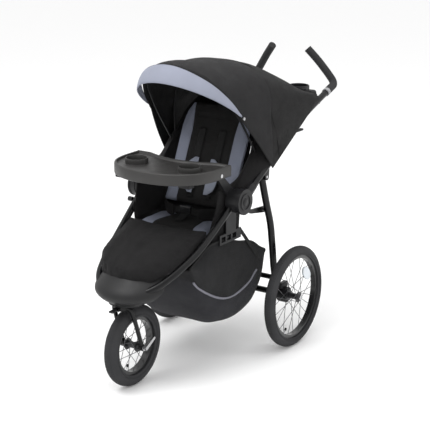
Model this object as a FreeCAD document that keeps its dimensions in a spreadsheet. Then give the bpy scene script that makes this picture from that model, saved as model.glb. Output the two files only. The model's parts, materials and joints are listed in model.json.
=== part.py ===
"""Three-wheeled jogging stroller: parametric FreeCAD document and STEP export.

Frame: millimetres, +Z up, the stroller faces -Y, +X is the pusher's left.
The origin is the middle of the footprint on the ground.
"""
import FreeCAD, Part
import math
import os
import re

import Sketcher

from FreeCAD import Vector as V

doc = FreeCAD.newDocument("jogging_stroller")

# ---------------------------------------------------------------- dimensions
sheet = doc.addObject("Spreadsheet::Sheet", "dims")
DIMENSIONS = dict(
    front_wheel_y=-488, front_tyre_mid=125, front_tyre_sect=27,
    rear_wheel_y=171, rear_tyre_mid=178, rear_tyre_sect=22, rear_track=285,
    steer_y=-548, frame_tube=13, handle_tube=12.5, tube_wall=1.6, grip_outer=15.5,
    hub_y=-130, hub_z=645, hub_radius=46, hub_split=222,
    leg_x=210, leg_tube=13.5, leg_pivot_y=44, leg_pivot_z=700,
    link_y=-72, link_z=606, link_end_y=99, link_end_z=555,
    canopy_y=65, canopy_z=746, bow_tube=4, cloth=2.5,
    visor_y=-80, visor_z=940, tray_y=-225, tray_z=757, tray_pin=4,
    cup_radius=37.5, console_y=450, console_z=938,
    axle_radius=6, running_gap=0.05, body_gap=0.3,
    seat_half=163, seat_top=548, recline_y=-66, recline_z=560,
    basket_half=178, pedal_y=150, pedal_z=268, bar_radius=10,
)
for row, (alias, value) in enumerate(DIMENSIONS.items(), start=1):
    sheet.set("A%d" % row, alias)
    sheet.set("B%d" % row, str(value))
    sheet.setAlias("B%d" % row, alias)
doc.recompute()


def dim(alias):
    """Return the number in the cell with this alias."""
    return float(getattr(sheet, alias))


nodes = []


def keep(obj, name):
    """Give a sub-part its label and list it for export."""
    obj.Label = name
    nodes.append(obj)
    return obj


def bind(obj, **cells):
    """Bind properties to sheet cells, each given as an expression on aliases."""
    for prop, text in cells.items():
        text = re.sub(r"[a-z_]+", lambda word: "dims." + word.group(), text)
        obj.setExpression(prop.replace("__", "."), text)
    return obj


def feature(name, shape):
    """Make a document object from a shape that Part's functions built."""
    obj = doc.addObject("Part::Feature", name)
    obj.Shape = shape
    obj.Placement = FreeCAD.Placement()
    return obj


# ------------------------------------------------------------ shape functions
def rounded_path(points, share=0.45):
    """Join points by straight runs and tangent arcs as large as the runs allow."""
    pts = [V(*p) for p in points]
    edges, start = [], pts[0]
    for before, corner, after in zip(pts, pts[1:], pts[2:]):
        into, out = (before - corner), (after - corner)
        trim = share * min(into.Length, out.Length)
        first = corner + into.normalize() * trim
        last = corner + out.normalize() * trim
        turn = math.pi - into.getAngle(out)
        if turn < 1e-4:
            continue
        radius = trim / math.tan(turn / 2)
        to_centre = (into + out).normalize() * (radius / math.cos(turn / 2))
        centre = corner + to_centre
        middle = centre - to_centre.normalize() * radius
        edges.append(Part.LineSegment(start, first).toShape())
        edges.append(Part.Arc(first, middle, last).toShape())
        start = last
    edges.append(Part.LineSegment(start, pts[-1]).toShape())
    return Part.Wire(edges)


def swept(points, radius, share=0.45):
    """Solid rod of one radius along a rounded path."""
    path = rounded_path(points, share)
    start = path.Edges[0]
    along = start.tangentAt(start.FirstParameter)
    ring = Part.Wire(Part.makeCircle(radius, V(*points[0]), along))
    shell = Part.BRepOffsetAPI.MakePipeShell(path)
    shell.add(ring, False, True)
    shell.setTransitionMode(1)
    shell.build()
    shell.makeSolid()
    return shell.shape()


def pipe(points, outer, inner=0.0, share=0.45):
    """Round tube along a rounded path, hollow when inner is not zero."""
    body = swept(points, outer, share)
    return body.cut(swept(points, inner, share)) if inner else body


def rod_x(x0, x1, y, z, radius):
    """Cylinder along X between two stations."""
    return Part.makeCylinder(radius, x1 - x0, V(x0, y, z), V(1, 0, 0))


def block(x0, x1, y0, y1, z0, z1, round_by=0.0):
    """Box between two corners, all edges rounded when round_by is set."""
    box = Part.makeBox(x1 - x0, y1 - y0, z1 - z0, V(x0, y0, z0))
    return box.makeFillet(round_by, box.Edges) if round_by else box


def plate(outline, x0, x1):
    """Plate in the YZ plane: polygon of (y, z) points, thick from x0 to x1."""
    loop = Part.makePolygon([V(x0, y, z) for y, z in outline + outline[:1]])
    return Part.Face(loop).extrude(V(x1 - x0, 0, 0))


def capsule(a, b, ra, rb, x0, x1):
    """Flat bar with round ends between two (y, z) points."""
    (ya, za), (yb, zb) = a, b
    length = math.hypot(yb - ya, zb - za)
    ny, nz = -(zb - za) / length, (yb - ya) / length
    side = [(ya + ny * ra, za + nz * ra), (yb + ny * rb, zb + nz * rb),
            (yb - ny * rb, zb - nz * rb), (ya - ny * ra, za - nz * ra)]
    bar = plate(side, x0, x1)
    return bar.fuse([rod_x(x0, x1, ya, za, ra), rod_x(x0, x1, yb, zb, rb)]).removeSplitter()


def mirrored(shape):
    """Copy of a shape on the other side of the YZ plane."""
    return shape.mirror(V(0, 0, 0), V(1, 0, 0))


def both(*shapes):
    """Shapes and their mirror images as one group of separate solids."""
    return Part.makeCompound(list(shapes) + [mirrored(shape) for shape in shapes])


def biggest(shape):
    """The largest solid of a cut, without the slivers that a cut may leave."""
    return max(shape.Solids, key=lambda solid: solid.Volume)


def pair(name, shape):
    """One node that holds a piece and its mirror image."""
    keep(feature(name, both(biggest(shape))), name)


# ------------------------------------------------------------------- wheels
def turned_body(name, fill_sketch, track, y_alias, mid, sect):
    """PartDesign body turned about a wheel axle; fill_sketch draws its (x, radius) section."""
    body = doc.addObject("PartDesign::Body", name)
    sketch = body.newObject("Sketcher::SketchObject", name + "_outline")
    plane = [f for f in body.Origin.OriginFeatures if f.Role == "XY_Plane"][0]
    sketch.AttachmentSupport = [(plane, "")]
    sketch.MapMode = "FlatFace"
    fill_sketch(sketch)
    turn = body.newObject("PartDesign::Revolution", name + "_turned")
    turn.Profile = sketch
    turn.ReferenceAxis = (sketch, ["H_Axis"])
    turn.Angle = 360
    bind(body, **{"Placement__Base__x": track, "Placement__Base__y": y_alias,
                  "Placement__Base__z": mid + " + " + sect})
    return keep(body, name)


def straight_section(profile):
    """Section made of straight sides through (x, radius) corners."""
    def fill(sketch):
        corners = [V(x, r, 0) for x, r in profile]
        for a, b in zip(corners, corners[1:] + corners[:1]):
            sketch.addGeometry(Part.LineSegment(a, b))
    return fill


def tyre_section(mid, sect, rim_radius):
    """Round section cut flat at the rim, its radius and height bound to the sheet."""
    def fill(sketch):
        r, centre = dim(sect), dim(mid)
        low = math.asin((rim_radius - centre) / r)
        half = r * math.cos(low)
        circle = Part.Circle(V(0, centre, 0), V(0, 0, 1), r)
        sketch.addGeometry(Part.ArcOfCircle(circle, low, math.pi - low))
        sketch.addGeometry(Part.LineSegment(V(-half, rim_radius, 0), V(half, rim_radius, 0)))
        rule = Sketcher.Constraint
        sketch.addConstraint([rule("Coincident", 0, 2, 1, 1), rule("Coincident", 0, 1, 1, 2),
                              rule("PointOnObject", 0, 3, -2), rule("Horizontal", 1),
                              rule("Radius", 0, r), rule("DistanceY", -1, 1, 0, 3, centre),
                              rule("DistanceY", -1, 1, 1, 1, rim_radius)])
        for index, name in ((4, "section"), (5, "middle")):
            sketch.renameConstraint(index, name)
        bind(sketch, Constraints__section=sect, Constraints__middle=mid)
    return fill


def rim_profile(radius, half_width, depth):
    """Channel section of a rim: a flat-bottomed U open towards the tyre."""
    wall = 2.0
    return [(-half_width, radius), (-half_width, radius - depth), (half_width, radius - depth),
            (half_width, radius), (half_width - wall, radius),
            (half_width - wall, radius - depth + wall),
            (-half_width + wall, radius - depth + wall), (-half_width + wall, radius)]


def hub_profile(half, flange_radius, bore):
    """Section of a spoked hub: barrel with a flange near each end."""
    barrel, thick = 0.55 * flange_radius, 3.0
    flange = 0.72 * half
    return [(-half, bore), (-half, barrel * 0.8), (-flange - thick, barrel),
            (-flange - thick, flange_radius), (-flange, flange_radius), (-flange, barrel),
            (flange, barrel), (flange, flange_radius), (flange + thick, flange_radius),
            (flange + thick, barrel), (half, barrel * 0.8), (half, bore)]


def spokes(centre, count, hub_radius, rim_radius, half, radius=1.1):
    """Crossed spokes from alternate hub flanges to the rim, each a thin rod."""
    rods = []
    for i in range(count):
        side = 1 if i % 2 else -1
        lean = math.radians(50 if (i // 2) % 2 else -50)
        at_rim = 2 * math.pi * i / count
        at_hub = at_rim + lean
        inner = V(side * half, hub_radius * math.cos(at_hub), hub_radius * math.sin(at_hub))
        outer = V(0, rim_radius * math.cos(at_rim), rim_radius * math.sin(at_rim))
        along = outer - inner
        rods.append(Part.makeCylinder(radius, along.Length, centre + inner, along))
    return Part.makeCompound(rods)


def wheel(prefix, x, y_alias, mid, sect, count, hub_half, side=""):
    """One pneumatic wheel: tyre, rim, spokes and hub."""
    y, z = dim(y_alias), dim(mid) + dim(sect)
    rim_radius = dim(mid) - 0.62 * dim(sect)
    place = (str(x), y_alias, mid, sect)
    turned_body(prefix + "_tyre" + side, tyre_section(mid, sect, rim_radius), *place)
    rim = straight_section(rim_profile(rim_radius, 0.5 * dim(sect), 12))
    turned_body(prefix + "_rim" + side, rim, *place)
    bore = dim("axle_radius") + dim("running_gap")
    turned_body(prefix + "_hub" + side, straight_section(hub_profile(hub_half, 21, bore)), *place)
    wires = spokes(V(x, y, z), count, 21.2, rim_radius - 12.2, 0.72 * hub_half + 1.5)
    keep(feature(prefix + "_spokes" + side, wires), prefix + "_spokes" + side)


FRONT_Z = dim("front_tyre_mid") + dim("front_tyre_sect")
REAR_Z = dim("rear_tyre_mid") + dim("rear_tyre_sect")
FRONT_Y, REAR_Y, TRACK = dim("front_wheel_y"), dim("rear_wheel_y"), dim("rear_track")
FRONT_HUB_HALF, REAR_HUB_HALF = 30, 28
wheel("front", 0, "front_wheel_y", "front_tyre_mid", "front_tyre_sect", 20, FRONT_HUB_HALF)
for side_name, side_x in (("_left", TRACK), ("_right", -TRACK)):
    wheel("rear", side_x, "rear_wheel_y", "rear_tyre_mid", "rear_tyre_sect", 24,
          REAR_HUB_HALF, side_name)


# --------------------------------------------------------------------- fork
STEER_Y, GAP = dim("steer_y"), dim("body_gap")
CROWN_LOW, CROWN_HIGH = 309, 326
fork_leg = pipe([(18, STEER_Y, 318), (40, STEER_Y + 4, 312), (42, STEER_Y + 26, 250),
                 (42, FRONT_Y, FRONT_Z)], 8)
fork_end = rod_x(34, 50, FRONT_Y, FRONT_Z, 13)
crown = Part.makeCylinder(26, CROWN_HIGH - CROWN_LOW, V(0, STEER_Y, CROWN_LOW))
lock_lug = block(9.6, 13, STEER_Y - 36, STEER_Y - 20, 311, 320)
fork_shape = crown.fuse([fork_leg, fork_end, mirrored(fork_leg), mirrored(fork_end),
                         lock_lug, mirrored(lock_lug)])
axle_hole = rod_x(-60, 60, FRONT_Y, FRONT_Z, dim("axle_radius"))
stem_hole = Part.makeCylinder(7, 40, V(0, STEER_Y, CROWN_LOW - 5))
keep(feature("fork", fork_shape.cut([axle_hole, stem_hole])), "fork")
axle_rod = doc.addObject("Part::Cylinder", "axle_rod")
bind(axle_rod, Radius="axle_radius")
axle_rod.Height = 108
axle_rod.Placement = FreeCAD.Placement(V(-54, FRONT_Y, FRONT_Z), FreeCAD.Rotation(V(0, 1, 0), 90))
spindle = Part.makeCylinder(7, 44, V(0, STEER_Y, CROWN_LOW))
keep(feature("steering_spindle", spindle), "steering_spindle")
axle_nuts = feature("axle_nuts", both(rod_x(50.2, 54, FRONT_Y, FRONT_Z, 11)))
front_axle = doc.addObject("Part::MultiFuse", "front_axle")
front_axle.Shapes = [axle_rod, axle_nuts]
keep(front_axle, "front_axle")
LEVER_X = 62
lever = capsule((FRONT_Y, FRONT_Z), (FRONT_Y + 46, FRONT_Z + 26), 7, 5, LEVER_X - 4, LEVER_X + 2)
keep(feature("quick_release_lever", lever), "quick_release_lever")

# ------------------------------------------------------- front frame and hub
HUB_Y, HUB_Z, SPLIT = dim("hub_y"), dim("hub_z"), dim("hub_split")
HUB_R, TUBE = dim("hub_radius"), dim("frame_tube")
hoop_half = [(205, HUB_Y, HUB_Z), (198, -212, 582), (184, -340, 492), (160, -440, 440),
             (133, -510, 404), (55, -588, 363)]
hoop_points = hoop_half + [(-x, y, z) for x, y, z in reversed(hoop_half)]
keep(feature("front_hoop", pipe(hoop_points, TUBE, TUBE - dim("tube_wall"))), "front_hoop")

LINK = (dim("link_y"), dim("link_z"))
hub_inner = rod_x(190.3, SPLIT - GAP, HUB_Y, HUB_Z, HUB_R - 2)
link_lug = capsule((HUB_Y, HUB_Z), LINK, 22, 13, 190.3, 200)
pivot_hole = rod_x(180, 260, HUB_Y, HUB_Z, 6)
pair("hub_housings", hub_inner.fuse(link_lug).cut(pivot_hole))
pivot_pin = rod_x(188, 248, HUB_Y, HUB_Z, 6)
link_pin = rod_x(181, 190.3, LINK[0], LINK[1], 4)
keep(feature("frame_pins", both(pivot_pin, link_pin)), "frame_pins")

TRAY = (dim("tray_y"), dim("tray_z"))
tray_arm = capsule((HUB_Y - 20, HUB_Z + 36), TRAY, 20, 13, 186, 198)
arm_root = capsule((HUB_Y - 20, HUB_Z + 36), (HUB_Y - 4, HUB_Z + 18), 20, 20, 186, 190)
pin_hole = rod_x(150, 240, TRAY[0], TRAY[1], dim("tray_pin"))
hub_clear = rod_x(190, 230, HUB_Y, HUB_Z, HUB_R - 1.7)
pair("tray_arms", tray_arm.fuse(arm_root).cut([pin_hole, hub_clear, pivot_hole]))
tray_pin = rod_x(180, 212, TRAY[0], TRAY[1], dim("tray_pin"))
pin_head = rod_x(208.6, 212, TRAY[0], TRAY[1], 7)
keep(feature("tray_rivets", both(tray_pin.fuse(pin_head))), "tray_rivets")

# --------------------------------------------- nose: foot panel and head tube
def nose_outline(z, half, front, back=-400):
    """Closed outline round the nose at one height: rounded front, straight back."""
    side_y = front + 0.92 * half
    points = [(half, back), (half, side_y), (0.74 * half, front + 0.3 * half), (0, front)]
    points = [V(x, y, z) for x, y in points + [(-x, y) for x, y in reversed(points[:-1])]]
    curve = Part.BSplineCurve()
    curve.interpolate(points)
    return Part.Wire([curve.toShape(), Part.LineSegment(points[-1], points[0]).toShape()])


NOSE = [(326, 66, -580), (350, 120, -602), (374, 148, -607), (400, 146, -588), (436, 128, -548)]
PANEL_WALL = 3.5
outer_tub = Part.makeLoft([nose_outline(*layer) for layer in NOSE], True, False)
inner_tub = Part.makeLoft([nose_outline(z + (3 if z == NOSE[0][0] else 0), half - PANEL_WALL,
                                        front + PANEL_WALL) for z, half, front in NOSE], True, False)
slope_cut = plate([(-660, 414), (-660, 600), (-380, 600), (-380, 480), (-552, 430)], -200, 200)
back_cut = plate([(-380, 300), (-380, 462), (-470, 412), (-520, 360), (-520, 300)], -200, 200)
hoop_clear = swept(hoop_points, TUBE + 0.2)
head_hole = Part.makeCylinder(22, 60, V(0, STEER_Y, 300))
open_top = block(-110, 110, -545, -380, 430, 480)
foot_panel = outer_tub.cut(inner_tub).cut([slope_cut, back_cut, hoop_clear, head_hole, open_top])
keep(feature("foot_panel", biggest(foot_panel)), "foot_panel")

head_tube = Part.makeCylinder(20, 40, V(0, STEER_Y, CROWN_HIGH + GAP))
head_bore = Part.makeCylinder(7 + dim("running_gap"), 80, V(0, STEER_Y, 300))
head_web = block(-52, 52, STEER_Y - 24, STEER_Y + 20, 349, 357)
head = head_tube.fuse(head_web).cut([head_bore, hoop_clear])
keep(feature("steering_head", head), "steering_head")
lock = block(-9, 9, STEER_Y - 64, STEER_Y - 29, 312, 319, 2)
keep(feature("swivel_lock_lever", lock), "swivel_lock_lever")

# ------------------------------------------------------------ seat, footwell
HALF, SEAT_TOP = dim("seat_half"), dim("seat_top")
footwell_edge = [(-262, 550), (-250, 526), (-545, 404), (-550, 428)]
footwell = plate(footwell_edge, -180, 180)
half_plan = [(168, -249), (162, -345), (126, -432), (96, -500), (44, -538)]
full_plan = half_plan + [(-x, y) for x, y in reversed(half_plan)]
footwell_plan = Part.Face(Part.makePolygon([V(x, y, 300) for x, y in full_plan + full_plan[:1]]))
footwell = footwell.common(footwell_plan.extrude(V(0, 0, 300)))
keep(feature("footwell_cover", footwell), "footwell_cover")
cushion = block(-HALF, HALF, -248, -84, SEAT_TOP - 40, SEAT_TOP, 12)
keep(feature("seat_cushion", cushion), "seat_cushion")
pan = block(-HALF, HALF, -244, -84, SEAT_TOP - 48, SEAT_TOP - 40.2)
pan_tab = block(HALF, 183.8, HUB_Y - 26, HUB_Y + 20, SEAT_TOP - 48, SEAT_TOP - 40.2)
keep(feature("seat_pan", pan.fuse([pan_tab, mirrored(pan_tab)])), "seat_pan")
BUCKLE_Y, BUCKLE_Z = -150, SEAT_TOP + 32
crotch = block(-16, 16, BUCKLE_Y - 4, BUCKLE_Y + 4, SEAT_TOP + 0.2, BUCKLE_Z - 14)
buckle = block(-24, 24, BUCKLE_Y - 9, BUCKLE_Y + 9, BUCKLE_Z - 13.8, BUCKLE_Z + 18, 4)
button_hole = Part.makeCylinder(8.3, 12, V(0, BUCKLE_Y, BUCKLE_Z + 2), V(0, -1, 0))
keep(feature("buckle", buckle.cut(button_hole)), "buckle")
button = Part.makeCylinder(8, 7, V(0, BUCKLE_Y - 3.5, BUCKLE_Z + 2), V(0, -1, 0))
keep(feature("buckle_button", button), "buckle_button")
waist = block(24.2, HALF - 4, BUCKLE_Y - 2, BUCKLE_Y + 1, BUCKLE_Z - 11, BUCKLE_Z + 14)
lap = Part.makeCompound([crotch, waist, mirrored(waist)])
keep(feature("harness_straps", lap), "harness_straps")

# -------------------------------------------------------------- basket
BASKET = dim("basket_half")
basket_side = [(-384, 444), (-226, 522), (-60, 468), (118, 430), (112, 250), (84, 176),
               (-20, 140), (-110, 142), (-218, 182)]
inner_side = [(-374, 446), (-226, 640), (-60, 640), (114.5, 640), (108.5, 250), (81.5, 179),
              (-20, 143.2), (-110, 145.2), (-216, 185)]
bag_inner = plate(inner_side, 3 - BASKET, BASKET - 3)
bag = plate(basket_side, -BASKET, BASKET).cut(bag_inner)
keep(feature("basket", bag.cut(hoop_clear)), "basket")
bracket = block(184, 190.2, -205, -64, 486, 524).fuse(block(184, 190.2, -164, -98, 524, 612))
windows = [block(180, 195, y, y + 26, 495, 515) for y in (-194, -158, -122)]
bracket = bracket.cut(windows + [hoop_clear])
keep(feature("basket_brackets", both(bracket)), "basket_brackets")
keep(feature("fold_lock_knob", rod_x(-232, -213.4, -196, 600, 9)), "fold_lock_knob")

# ------------------------------------------------------------ upper frame
HANDLE = dim("handle_tube")
RING_POINT = (205, 531, 938)
BEND = (190, 634, 958)
handle_points = [(234, HUB_Y, HUB_Z), (222, 330, 885), RING_POINT, BEND,
                 (160, 625, 1001), (122, 610, 1052), (85, 594, 1094)]
handle = pipe(handle_points, HANDLE, HANDLE - dim("tube_wall"))
hub_bore = rod_x(200, 260, HUB_Y, HUB_Z, 6 + dim("running_gap"))
plate_hole = rod_x(200, 260, HUB_Y, HUB_Z, 24)
hub_face = rod_x(190, SPLIT + 0.2, HUB_Y, HUB_Z, 60)
pair("handle_tubes", handle.cut([plate_hole, hub_face]))
handle_solid = swept(handle_points, HANDLE + 0.05)
hub_plate = rod_x(SPLIT, 246, HUB_Y, HUB_Z, HUB_R)
socket = swept([handle_points[0], (232, -52, 686)], HANDLE + 4)
pair("hub_plates", hub_plate.fuse(socket).cut([handle_solid, hub_bore])
     .common(block(SPLIT, 250, -300, 0, 500, 800)))
cover = rod_x(248.2, 252, HUB_Y, HUB_Z, HUB_R + 2)
skirt = rod_x(244, 252, HUB_Y, HUB_Z, HUB_R + 2).cut(rod_x(240, 248.2, HUB_Y, HUB_Z, HUB_R + 0.2))
keep(feature("hub_covers", both(biggest(cover.fuse(skirt).cut([handle_solid, socket])))), "hub_covers")

grip_start = tuple(a + 0.18 * (b - a) for a, b in zip(RING_POINT, BEND))
grip_points = [grip_start] + handle_points[3:-1] + [(83, 593, 1097)]
grip = swept(grip_points, dim("grip_outer")).cut(handle_solid)
pair("grips", grip)
along_ring = V(*BEND) - V(*RING_POINT)
collar = Part.makeCylinder(16, 17, V(*RING_POINT), along_ring).cut(handle_solid)
keep(feature("collars", both(collar)), "collars")

CON_Y, CON_Z, CUP = dim("console_y"), dim("console_z"), dim("cup_radius")
cup_x = 128
deck = block(-186, 186, CON_Y - 52, CON_Y + 50, CON_Z - 14, CON_Z + 16, 12)
cup_wall = Part.makeCylinder(CUP + 5, 84, V(cup_x, CON_Y, CON_Z - 50))
cup_hole = Part.makeCylinder(CUP, 90, V(cup_x, CON_Y, CON_Z - 46))
well = block(-74, 74, CON_Y - 40, CON_Y + 38, CON_Z - 10, CON_Z + 40, 8)
arm = block(180, 216, CON_Y - 30, CON_Y + 24, CON_Z - 34, CON_Z - 2, 5)
console = deck.fuse([cup_wall, mirrored(cup_wall), arm, mirrored(arm)])
console = console.cut([cup_hole, mirrored(cup_hole), well, handle_solid, mirrored(handle_solid)])
keep(feature("console", biggest(console)), "console")

LEG = (dim("leg_pivot_y"), dim("leg_pivot_z"))
LEG_X, LEG_R = dim("leg_x"), dim("leg_tube")
leg_hanger = capsule(LEG, (LEG[0] - 2, LEG[1] + 36), 13, 18, 224.2, 236)
leg_hanger = biggest(leg_hanger.cut([handle_solid, rod_x(180, 250, *LEG, 5)]))
trigger = block(214, 228, 262, 322, 826, 834, 2)
pair("fold_triggers", trigger)
trigger_mount = biggest(block(214, 228, 248, 261, 826, 850).cut(handle_solid))
keep(feature("frame_brackets", both(leg_hanger, trigger_mount)), "frame_brackets")

# ------------------------------------------------------------------ canopy
CAN = (dim("canopy_y"), dim("canopy_z"))
VIS = (dim("visor_y"), dim("visor_z"))


def in_plane(pivot, degrees, points):
    """Place (x, radius) points in a plane through a pivot axis along X."""
    a = math.radians(degrees)
    return [V(x, pivot[0] + r * math.cos(a), pivot[1] + r * math.sin(a)) for x, r in points]


def arch(half, foot, shoulder, top, count=9, power=2.4):
    """Half-width, foot radius, shoulder radius and top radius give an arch."""
    curve = []
    for i in range(count + 1):
        t = math.pi * i / count
        cx, cr = math.cos(t), math.sin(t)
        curve.append((half * math.copysign(abs(cx) ** (2 / power), cx),
                      shoulder + (top - shoulder) * abs(cr) ** (2 / power)))
    return [(half, foot)] + curve + [(-half, foot)]


def cloth_ring(pivot, degrees, half, foot, shoulder, top):
    """Closed thin outline of cloth over an arch, in one plane."""
    thick = dim("cloth")
    outer = in_plane(pivot, degrees, arch(half, foot, shoulder, top))
    inner = in_plane(pivot, degrees, arch(half - thick, foot, shoulder, top - thick))
    def rail(points):
        curve = Part.BSplineCurve()
        curve.interpolate(points[1:-1])
        return [Part.LineSegment(points[0], points[1]).toShape(), curve.toShape(),
                Part.LineSegment(points[-2], points[-1]).toShape()]
    ends = [Part.LineSegment(outer[-1], inner[-1]).toShape(),
            Part.LineSegment(inner[0], outer[0]).toShape()]
    back = [Part.LineSegment(inner[-1], inner[-2]).toShape()]
    middle = Part.BSplineCurve()
    middle.interpolate(inner[-2:0:-1])
    back += [middle.toShape(), Part.LineSegment(inner[1], inner[0]).toShape()]
    return Part.Wire(rail(outer) + [ends[0]] + back + [ends[1]])


def cloth_panel(name, rings):
    """Closed cloth panel lofted between arches."""
    return keep(feature(name, Part.makeLoft([cloth_ring(*r) for r in rings], True, True)), name)


FOOT = 16
cloth_panel("canopy_rear", [(CAN, 91.4, 214, FOOT, 190, 385), (CAN, 62, 212, FOOT, 220, 384),
                            (CAN, 35, 203, FOOT, 300, 396)])
cloth_panel("canopy_front", [(CAN, 128.5, 204, FOOT, 240, 510), (CAN, 110, 210, FOOT, 215, 418),
                             (CAN, 94.6, 214, FOOT, 190, 385)])
cloth_panel("visor", [(VIS, 147, 207.5, 8, 24, 264), (VIS, 132.2, 207.5, 8, 30, 270)])


def bow(degrees, foot_half, half, shoulder, top):
    """Round bow bent over an arch from pivot to pivot."""
    right_side = [(foot_half, 0), (half, shoulder), (0.88 * half, shoulder + 0.62 * (top - shoulder)),
                  (0.55 * half, top - 0.06 * (top - shoulder))]
    outline = right_side + [(-x, r) for x, r in reversed(right_side)]
    points = [tuple(p) for p in in_plane(CAN, degrees, outline)]
    return pipe(points, dim("bow_tube"))


FRONT_BOW, MID_BOW, REAR_BOW = 126.5, 93, 33
FRONT_FOOT, MID_FOOT, REAR_FOOT = 190, 198.4, 206.8
front_eye, mid_eye, rear_eye = [rod_x(x - 3.9, x + 3.9, *CAN, 9)
                                for x in (FRONT_FOOT, MID_FOOT, REAR_FOOT)]
canopy_hole = rod_x(-250, 250, *CAN, 3 + dim("running_gap"))
mid_shape = bow(MID_BOW, MID_FOOT, MID_FOOT, 180, 370).fuse([mid_eye, mirrored(mid_eye)])
front_shape = bow(FRONT_BOW, FRONT_FOOT, FRONT_FOOT, 240, 480).fuse([front_eye, mirrored(front_eye)])
rear_shape = pipe([tuple(p) for p in in_plane(CAN, REAR_BOW, [
    (REAR_FOOT, 4), (192, 300), (150, 384), (-150, 384), (-192, 300), (-REAR_FOOT, 4)])], dim("bow_tube"))
keep(feature("canopy_mid_bow", mid_shape.cut(canopy_hole)), "canopy_mid_bow")
keep(feature("canopy_front_bow", front_shape.cut(canopy_hole)), "canopy_front_bow")
rear_full = rear_shape.fuse([rear_eye, mirrored(rear_eye)])
keep(feature("canopy_rear_bow", rear_full.cut(canopy_hole)), "canopy_rear_bow")
canopy_pin = rod_x(184, 228, *CAN, 3).cut(handle_solid)
keep(feature("upper_pins", both(canopy_pin, rod_x(193, 236, *LEG, 5))), "upper_pins")
snap = rod_x(209.6, 213, *VIS, 6).fuse(rod_x(199, 213, *VIS, 2.5))
keep(feature("visor_snaps", both(snap)), "visor_snaps")

# --------------------------------------------------------------- seat back
REC = (dim("recline_y"), dim("recline_z"))
BACK_TOP = (105, 944)


def along_back(offset, start, end):
    """Quadrilateral parallel to the seat back: offset band, start to end share."""
    dy, dz = BACK_TOP[0] - REC[0], BACK_TOP[1] - REC[1]
    length = math.hypot(dy, dz)
    uy, uz = dy / length, dz / length
    lo, hi = offset
    return [(REC[0] + uy * length * s - uz * o, REC[1] + uz * length * s + uy * o)
            for s, o in ((start, lo), (end, lo), (end, hi), (start, hi))]


board = plate(along_back((-10, -4), 0.0, 0.97), -150, 150)
keep(feature("seat_back_board", board), "seat_back_board")
pad = plate(along_back((-3.8, 24), 0.02, 1.0), -HALF, HALF)
keep(feature("seat_back_pad", pad), "seat_back_pad")
strap = plate(along_back((24.3, 27), 0.10, 0.72), 30, 62)
strap_pad = plate(along_back((27.2, 38), 0.2, 0.46), 26, 66)
keep(feature("shoulder_harness", both(strap, strap_pad)), "shoulder_harness")

# -------------------------------------------------------------- child tray
def tray_outline(grow, z):
    """D-shaped outline of the tray, seen from above."""
    front = [(206 + grow, -262), (190 + grow, -348), (110, -420 - grow), (0, -440 - grow)]
    points = [V(x, y, z) for x, y in front] + [V(-x, y, z) for x, y in reversed(front[:-1])]
    curve = Part.BSplineCurve()
    curve.interpolate(points)
    rear = [V(-206 - grow, -262, z), V(-206 - grow, -196 + grow, z), V(-150, -196 + grow, z)]
    belly = Part.Arc(V(-150, -196 + grow, z), V(0, -238 + grow, z), V(150, -196 + grow, z))
    right = [V(150, -196 + grow, z), V(206 + grow, -196 + grow, z), V(206 + grow, -262, z)]
    edges = [curve.toShape()]
    edges += [Part.LineSegment(a, b).toShape() for a, b in zip(rear, rear[1:])]
    edges += [belly.toShape()]
    edges += [Part.LineSegment(a, b).toShape() for a, b in zip(right, right[1:])]
    return Part.Wire(edges)


TRAY_LOW, TRAY_HIGH = 742, 786
tray_body = Part.Face(tray_outline(0, TRAY_LOW)).extrude(V(0, 0, TRAY_HIGH - TRAY_LOW))
tray_top = Part.Face(tray_outline(-12, TRAY_HIGH - 9)).extrude(V(0, 0, 20))
tray_under = Part.Face(tray_outline(-4, TRAY_LOW - 1)).extrude(V(0, 0, 20))
TRAY_CUP_X, TRAY_CUP_Y = 118, -292
tray_cup = Part.makeCylinder(CUP + 4, 60, V(TRAY_CUP_X, TRAY_CUP_Y, TRAY_LOW - 6))
tray_well = Part.makeCylinder(CUP, 70, V(TRAY_CUP_X, TRAY_CUP_Y, TRAY_LOW - 3))
slot = block(184, 198.4, -246, -100, 700, 820)
tray_bore = rod_x(150, 240, TRAY[0], TRAY[1], dim("tray_pin") + dim("running_gap"))
tray = tray_body.cut([tray_top, tray_under]).fuse([tray_cup, mirrored(tray_cup)])
tray = tray.cut([tray_well, mirrored(tray_well), slot, mirrored(slot), tray_bore,
                 mirrored(tray_bore)])
keep(feature("child_tray", biggest(tray)), "child_tray")

# -------------------------------------------------------------- rear frame
leg_points = [(LEG_X, *LEG), (LEG_X, 83, 580), (LEG_X, 114, 500), (LEG_X, 132, 386),
              (LEG_X, 140, 320), (LEG_X, REAR_Y, REAR_Z)]
LINK_END = (dim("link_end_y"), dim("link_end_z"))
leg_tube = pipe(leg_points, LEG_R)
leg_bore = rod_x(150, 250, *LEG, 5 + dim("running_gap"))
axle_seat = rod_x(150, 330, REAR_Y, REAR_Z, dim("axle_radius"))
BAR = (dim("pedal_y"), dim("pedal_z"))
bar_hole = rod_x(150, 260, *BAR, dim("bar_radius"))
end_pin_hole = rod_x(150, 212, *LINK_END, 4)
leg = leg_tube.fuse(rod_x(LEG_X - 13.5, LEG_X + 13.5, *LEG, 15))
leg = leg.fuse(rod_x(LEG_X - 13.5, LEG_X + 13.5, REAR_Y, REAR_Z, 19))
pair("rear_legs", leg.cut([leg_bore, axle_seat, bar_hole, end_pin_hole]))
keep(feature("rear_axle", rod_x(-318, 318, REAR_Y, REAR_Z, dim("axle_radius"))), "rear_axle")
axle_sleeve = rod_x(-196, 196, REAR_Y, REAR_Z, 12).cut(
    rod_x(-200, 200, REAR_Y, REAR_Z, dim("axle_radius")))
crossbar = rod_x(-212, 212, *BAR, dim("bar_radius"))
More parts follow.
